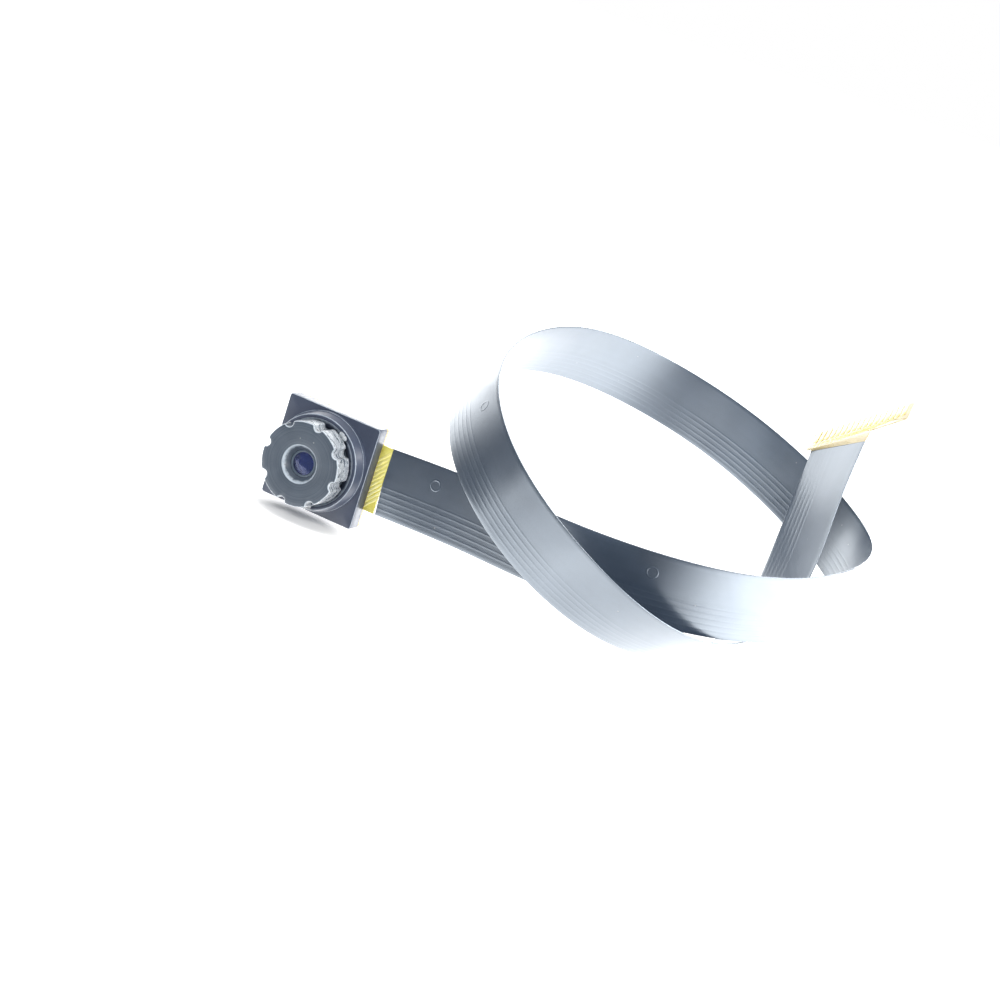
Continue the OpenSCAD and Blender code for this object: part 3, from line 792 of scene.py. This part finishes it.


# The paler edge colours stand for both wear and a painted highlight on rims and film edges.
looks = {
    "holderPlastic": {
        "colour": (0.055, 0.07, 0.11), "mottle": (0.064, 0.08, 0.125), "wornAndLit": (0.4, 0.46, 0.54),
        "rough": 0.36, "grain": 9, "depth": 0.004, "wearAndHighlight": 0.6, "dust": 0.1},
    # the barrel's pale adhesive colour is partly a painted sheen on the flange's lit wall
    "barrelPlastic": {
        "colour": (0.056, 0.076, 0.105), "mottle": (0.066, 0.088, 0.12), "wornAndLit": (0.5, 0.57, 0.64),
        "rough": 0.33, "grain": 12, "depth": 0.004, "wearAndHighlight": 0.62, "dust": 0.1,
        "lines": 14, "lineShare": 0.6, "lineTone": 0.08, "glue": (0.82, 0.87, 0.92)},
    "frostedCollar": {
        "colour": (0.07, 0.1, 0.14), "mottle": (0.09, 0.13, 0.18), "wornAndLit": (0.4, 0.45, 0.5),
        "rough": 0.3, "grain": 16, "depth": 0.002, "lines": 12, "lineShare": 0.7, "lineTone": 0.2},
    "blackenedFilm": {
        "colour": (0.012, 0.012, 0.014), "mottle": (0.018, 0.018, 0.02),
        "rough": 0.7, "grain": 14, "depth": 0.003},
    "glueFilm": {
        "colour": (0.52, 0.5, 0.42), "mottle": (0.6, 0.57, 0.48),
        "rough": 0.3, "grain": 5, "depth": 0.01, "sockets": {"Transmission Weight": 0.3, "IOR": 1.5}},
    "glueBead": {
        "colour": (0.55, 0.6, 0.65), "mottle": (0.7, 0.74, 0.78),
        "rough": 0.12, "grain": 4, "depth": 0.03, "sockets": {"Transmission Weight": 0.45, "IOR": 1.5}},
    "sensorDie": {
        "colour": (0.05, 0.04, 0.08), "mottle": (0.07, 0.06, 0.1), "wornAndLit": (0.2, 0.18, 0.22),
        "rough": 0.12, "grain": 20, "depth": 0.001, "lines": 30, "lineTone": 0.4, "lineShare": 0.5,
        "sockets": {"Specular Tint": (0.8, 0.75, 1.0, 1)}},
    "goldPlate": {
        "colour": (0.82, 0.6, 0.22), "mottle": (0.74, 0.52, 0.18), "wornAndLit": (0.95, 0.85, 0.6),
        "rough": 0.4, "grain": 12, "depth": 0.003, "wearAndHighlight": 0.4, "sockets": {"Metallic": 1.0}},
    "bareCopper": {
        "colour": (0.98, 0.93, 0.42), "mottle": (0.92, 0.82, 0.26),
        "rough": 0.4, "grain": 7, "depth": 0.01, "sockets": {"Metallic": 0.15}},
    "firedCeramic": {
        "colour": (0.3, 0.2, 0.12), "mottle": (0.36, 0.25, 0.16),
        "rough": 0.5, "grain": 25, "depth": 0.003, "dust": 0.2},
    "boardFilm": {
        "colour": (0.42, 0.26, 0.035), "mottle": (0.5, 0.32, 0.05), "wornAndLit": (0.66, 0.5, 0.2),
        "rough": 0.35, "grain": 10, "depth": 0.004, "wearAndHighlight": 0.4},
    "brushedSteel": {
        "colour": (0.14, 0.143, 0.15), "mottle": (0.115, 0.118, 0.124), "wornAndLit": (0.28, 0.28, 0.29),
        "rough": 0.36, "roughRise": 0.12, "grain": 10, "depth": 0.003, "wearAndHighlight": 0.5, "dust": 0.1,
        "lines": 9, "lineShare": 0.85, "lineTone": 0.22, "sockets": {"Metallic": 1.0}},
    "neckYellow": {
        "colour": (0.72, 0.62, 0.07), "mottle": (0.9, 0.84, 0.24),
        "rough": 0.22, "grain": 5, "depth": 0.02},
    "coverFilm": {
        "colour": (0.028, 0.042, 0.068), "mottle": (0.035, 0.051, 0.08), "wornAndLit": (0.16, 0.19, 0.23),
        "rough": 0.285, "roughRise": 0.04, "smudges": 0.12, "grain": 2.2, "depth": 0.0006, "wearAndHighlight": 0.9,
        "ridgeSheenTone": 0.08, "dust": 0.05, "onFilm": True, "lines": 1.6, "lineShare": 0.3, "lineTone": 0.05,
        "sockets": {"IOR": 1.8, "Specular IOR Level": 1.0, "Specular Tint": (0.85, 0.93, 1.0, 1)}},
    "paleGoldFilm": {
        "colour": (0.5, 0.4, 0.17), "mottle": (0.58, 0.48, 0.24), "wornAndLit": (0.8, 0.72, 0.5),
        "rough": 0.3, "grain": 6, "depth": 0.006, "wearAndHighlight": 0.4},
    "paleBoard": {
        "colour": (0.78, 0.68, 0.42), "mottle": (0.84, 0.75, 0.52), "wornAndLit": (0.9, 0.85, 0.7),
        "rough": 0.45, "grain": 12, "depth": 0.005, "wearAndHighlight": 0.4, "dust": 0.15},
}
looks["coverFilmMarks"] = {**looks["coverFilm"], "onFilm": False}
linesRun = {
    "barrelPlastic": fromAxis, "frostedCollar": fromAxis, "sensorDie": alongAxis(0),
    "brushedSteel": alongAxis(0), "coverFilm": alongAxis(1), "coverFilmMarks": alongAxis(2),
}
finishes = {name: makeFinish(name, look, linesRun.get(name)) for name, look in looks.items()}


def makeGlass(name, colour, roughness, tint, clear):
    # Clear glass with a thin coloured coating and a faint, uneven film of haze.
    material, tree, surface = newMaterial(name)
    spot = inMillimetres(tree, put(tree, "TexCoord").outputs["Object"])
    smudge = effect(tree, "handling", Position=spot, Scale=1.1)["Smudge"]
    tree.links.new(spread(tree, smudge, 0, 1, roughness, roughness + 0.05), surface.inputs["Roughness"])
    paler = tuple(0.8 * c + 0.2 for c in colour)
    tree.links.new(blendColour(tree, smudge, colour, paler), surface.inputs["Base Color"])
    setSockets(surface, {"Transmission Weight": clear, "IOR": 1.5, "Specular IOR Level": 0.14,
                         "Specular Tint": (*tint, 1)})
    return material


glasses = {      # colour, roughness, the coating's tint, share of clear glass
    "coatedGlass": ((0.14, 0.2, 0.52), 0.1, (0.55, 0.62, 1.0), 0.85),
    "tintedLens": ((0.4, 0.45, 0.8), 0.03, (0.5, 0.5, 1.0), 1),
    "clearLens": ((0.88, 0.94, 0.95), 0.02, (0.8, 0.95, 0.9), 1),
    "filterGlass": ((0.35, 0.75, 0.85), 0.02, (1.0, 0.6, 0.6), 1),
}
finishes.update({name: makeGlass(name, *look) for name, look in glasses.items()})

dressed = {
    "holderPlastic": [(lensHolder, "dark_plastic")],
    "barrelPlastic": [(lensBarrel, "barrel_plastic")],
    "coatedGlass": [(frontGlass, "coated_glass")],
    "frostedCollar": [(lensCollar, "coated_glass")],
    "tintedLens": [(nodes["middle_lens"], "")],
    "clearLens": [(nodes["rear_lens"], "")],
    "filterGlass": [(nodes["ir_filter"], "")],
    "blackenedFilm": [(nodes[name], "") for name in ("shade_ring", "spacer_ring", "retaining_ring")],
    "glueFilm": [(nodes["filter_adhesive"], "")],
    "glueBead": [(threadLock, "adhesive")],
    "sensorDie": [(nodes["image_sensor"], "")],
    "goldPlate": [(nodes["bond_wires"], ""), (ends["contactFingers"], "gold"), (ends["endVias"], "gold")],
    "bareCopper": [(neckTraces, "bare_copper"), (ends["endTraces"], "bare_copper")],
    "firedCeramic": [(nodes["board_capacitors"], "")],
    "boardFilm": [(boardPlate, "amber_film")],
    "brushedSteel": [(stiffener, "stiffener_steel")],
    "neckYellow": [(neckFilm, "amber_film")],
    "coverFilm": [(flexRibbon, "black_film_cover")],
    "coverFilmMarks": [(ringMarks, "black_film_cover")],
    "paleGoldFilm": [(ends["endFilm"], "amber_film"), (nodes["ribbon_bend"], "")],
    "paleBoard": [(ends["endStiffener"], "pale_stiffener")],
}
for name, pieces in dressed.items():
    for piece, slot in pieces:
        piece.data.materials.clear()
        piece.data.materials.append(finishes[name])
print("finishes put on,", len(finishes), "materials")


# A pale table that glows up through its top, with soft lamps behind and to the right.

floor = {
    "size": 4000, "colour": 0.74,
    "shade": (1.0, -2.0), "reach": (6.0, 3.2),      # mm, the oval that doesn't glow
    "nearGlow": 0.0, "farGlow": 0.9,
}


def stagePiece(name, points, faces, material):
    # Part of the studio round the object, from points in mm.
    mesh = bpy.data.meshes.new(name)
    mesh.from_pydata((np.array(points, float) * mm).tolist(), [], faces)
    mesh.materials.append(material)
    return addObject(name, mesh)


def ovalMask(tree, middle, reach):
    # How far a point of the plane lies from the middle, where 1 is on an oval.
    spot = put(tree, "TexCoord").outputs["Object"]
    moved = vectors(tree, "ADD", spot, (-middle[0] * mm, -middle[1] * mm, 0))
    return lengthOf(tree, vectors(tree, "MULTIPLY", moved, (1 / reach[0] / mm, 1 / reach[1] / mm, 0)))


def makeFloor(f):
    # A wide matt square at the object's foot.
    material, tree, surface = newMaterial("tableTop")
    setSockets(surface, {"Base Color": (f["colour"],) * 3 + (1,), "Roughness": 0.9, "Specular IOR Level": 0.1,
                         "Emission Color": (1, 1, 1, 1)})
    # the glow eases off round the module, so that its shadow stays on the table
    glow = spread(tree, ovalMask(tree, f["shade"], f["reach"]), 0.4, 1, f["nearGlow"], f["farGlow"])
    rays = put(tree, "LightPath").outputs
    seen = sums(tree, "MAXIMUM", rays["Is Camera Ray"], rays["Is Glossy Ray"])
    tree.links.new(sums(tree, "MULTIPLY", glow, seen), surface.inputs["Emission Strength"])
    material.cycles.emission_sampling = "NONE"     # only looked at, so no light is drawn from it
    half = f["size"] / 2
    corners = [(-half, -half, 0), (half, -half, 0), (half, half, 0), (-half, half, 0)]
    piece = stagePiece("floor", corners, [(0, 1, 2, 3)], material)
    piece.visible_glossy = False
    piece.visible_shadow = False


def makeWorld(soft):
    # White all round, and dimmer as a light than as it looks.
    world = bpy.data.worlds.new("studio")
    bpy.context.scene.world = world
    world.use_nodes = True
    tree = world.node_tree
    rays = put(tree, "LightPath").outputs
    seen = sums(tree, "MAXIMUM", rays["Is Camera Ray"], sums(tree, "MAXIMUM", rays["Is Glossy Ray"],
                                                              rays["Is Transmission Ray"]))
    tree.links.new(spread(tree, seen, 0, 1, soft, 1.0), tree.nodes["Background"].inputs["Strength"])
    tree.nodes["Background"].inputs["Color"].default_value = (1, 1, 1, 1)


aim = (15, 11, 6)     # mm, the middle of the object


# azimuth and elevation in degrees, distance, width and height in mm, radiance,
# and whether reflections show it
lamps = {
    "rightSoftbox": (105, 16, 260, 220, 150, 7.0, True),
    "backSoftbox": (180, 14, 280, 300, 150, 6.5, True),
    "topSoftbox": (60, 80, 300, 200, 200, 1.5, True),
    "leftBackSoftbox": (-125, 20, 260, 230, 220, 3.5, True),
    "frontFill": (-10, 40, 300, 200, 200, 4.4, False),
    "rimStrip": (76, 22, 260, 70, 90, 13.0, True),
}


def makeLamps(setup):
    # Power = radiance * pi * area, and each lamp faces the middle of the object.
    for name, (azimuth, elevation, distance, width, height, radiance, mirrored) in setup.items():
        data = bpy.data.lights.new(name, "AREA")
        data.shape = "RECTANGLE"
        data.size, data.size_y = width * mm, height * mm
        data.energy = radiance * math.pi * data.size * data.size_y
        lamp = addObject(name, data)
        back = backVector(azimuth, elevation)
        turn = back.to_track_quat("Z", "Y").to_matrix().to_4x4()
        lamp.matrix_world = Matrix.Translation((Vector(aim) + back * distance) * mm) @ turn
        lamp.visible_camera = False
        lamp.visible_glossy = mirrored


# what reflections see of the lit table, in mm and radiance: dim on the left and
# bright on the right, with dull ovals in front, each a middle, a reach and a share
table = {
    "outline": [(-330, -335), (-60, -145), (360, -140), (360, 360), (-330, 360)], "depth": 60,
    "left": 4.0, "right": 7.5, "span": (70, 210), "back": 6.0, "backSpan": (110, 240),
    "patches": [((72, -60), (54, 88), 0.76), ((26, -140), (68, 64), 0.9)],
}


def makeTableGlow(t):
    material, tree, surface = newMaterial("tableGlow")
    x, y, _ = put(tree, "SeparateXYZ", {0: put(tree, "TexCoord").outputs["Object"]}).outputs
    span, backSpan = (np.array(t[key]) * mm for key in ("span", "backSpan"))
    level = spread(tree, x, *span, t["left"], t["right"])
    level = sums(tree, "MAXIMUM", level, spread(tree, y, *backSpan, 0, t["back"]))
    for middle, reach, share in t["patches"]:
        kept = spread(tree, ovalMask(tree, middle, reach), 0.35, 1.1, 1 - share, 1)
        level = sums(tree, "MULTIPLY", level, kept)
    tree.links.new(level, surface.inputs["Emission Strength"])
    setSockets(surface, {"Emission Color": (1, 1, 1, 1), "Base Color": (0, 0, 0, 1)})
    material.cycles.emission_sampling = "NONE"
    corners = [(x, y, -t["depth"]) for x, y in t["outline"]]
    glow = stagePiece("tableGlow", corners, [list(range(len(corners)))], material)
    glow.visible_camera = glow.visible_diffuse = glow.visible_transmission = glow.visible_shadow = False


# dark cards that reflections see: upright parts of tubes round the object
cards = {
    "frontCard": {"radius": 230, "bottom": -95, "top": 210, "from": -42, "to": 40, "shades": False},
    "leftCard": {"radius": 230, "bottom": -27, "top": 210, "from": -88, "to": -42, "shades": False},
    "sideCard": {"radius": 120, "bottom": 31, "top": 66, "from": -116, "to": -84, "shades": True},
}


def makeCard(name, c, steps=40, tone=0.07):
    # Two rows of points, low and high, joined by upright faces.
    a = np.radians(np.linspace(c["from"], c["to"], steps))[None, :]
    z = np.array([[c["bottom"]], [c["top"]]])
    x, y = aim[0] + c["radius"] * np.sin(a) + 0 * z, aim[1] - c["radius"] * np.cos(a) + 0 * z
    j = np.arange(steps - 1)
    faces = np.stack([j, j + 1, j + 1 + steps, j + steps], -1).tolist()
    material, _, surface = newMaterial(name)
    setSockets(surface, {"Base Color": (tone, tone, tone, 1), "Roughness": 0.9})
    card = stagePiece(name, np.stack([x, y, z + 0 * a], -1).reshape(-1, 3), faces, material)
    card.visible_camera = card.visible_diffuse = False
    card.visible_shadow = c["shades"]


makeFloor(floor)
makeWorld(soft=0.22)
makeLamps(lamps)
makeTableGlow(table)
for name, card in cards.items():
    makeCard(name, card)
bpy.context.scene.view_settings.view_transform = "Standard"
print("table, lamps and cards placed")
